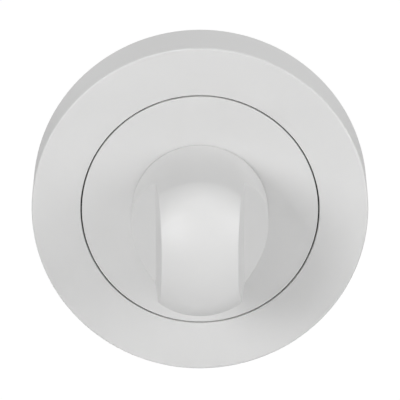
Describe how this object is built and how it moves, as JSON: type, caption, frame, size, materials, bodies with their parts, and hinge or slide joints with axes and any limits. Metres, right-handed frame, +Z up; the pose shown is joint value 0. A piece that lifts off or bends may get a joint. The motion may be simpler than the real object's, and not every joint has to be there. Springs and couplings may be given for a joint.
{
  "type": "bathroom thumb turn lock",
  "caption": "Satin round rose with a waisted thumb turn that rotates a quarter turn and drives a square spindle through the door.",
  "frame": {"origin": "on the spindle axis, in the plane of the door's face that the rose seats on", "axes": "front faces -Y with the grip upright, +X to the right seen from the front, +Z up, +Y into the door"},
  "size_m": [0.05, 0.09, 0.05],
  "materials": {
    "satin_metal": "fine satin, almost matt",
    "cast_metal": "plain die-cast zinc",
    "plated_steel": "bright zinc plate",
    "spring_steel": "oiled dark spring steel",
    "nylon": "natural nylon",
    "rubber": "black nitrile"
  },
  "bodies": {
    "rose": {"rose_cover": "satin_metal", "face_disc": "satin_metal", "base_plate": "cast_metal", "cover_o_ring": "rubber", "bolt_left": "plated_steel", "bolt_right": "plated_steel", "wood_screw_1": "plated_steel", "wood_screw_2": "plated_steel", "wood_screw_3": "plated_steel", "wood_screw_4": "plated_steel", "shank_bush": "nylon", "thrust_washer": "nylon", "plain_washer": "plated_steel", "wave_washer": "spring_steel", "stop_pin_upper": "spring_steel", "stop_pin_lower": "spring_steel"},
    "turn": {"thumb_turn": "satin_metal", "spindle": "plated_steel", "spring_pin": "spring_steel", "stop_washer": "plated_steel", "circlip": "spring_steel"}
  },
  "joints": [
    {"name": "thumb_turn_rotate", "type": "hinge", "parent": "rose", "child": "turn", "pos_m": [0, 0, 0], "axis": [0, 1, 0], "range_deg": [0, 90]}
  ]
}
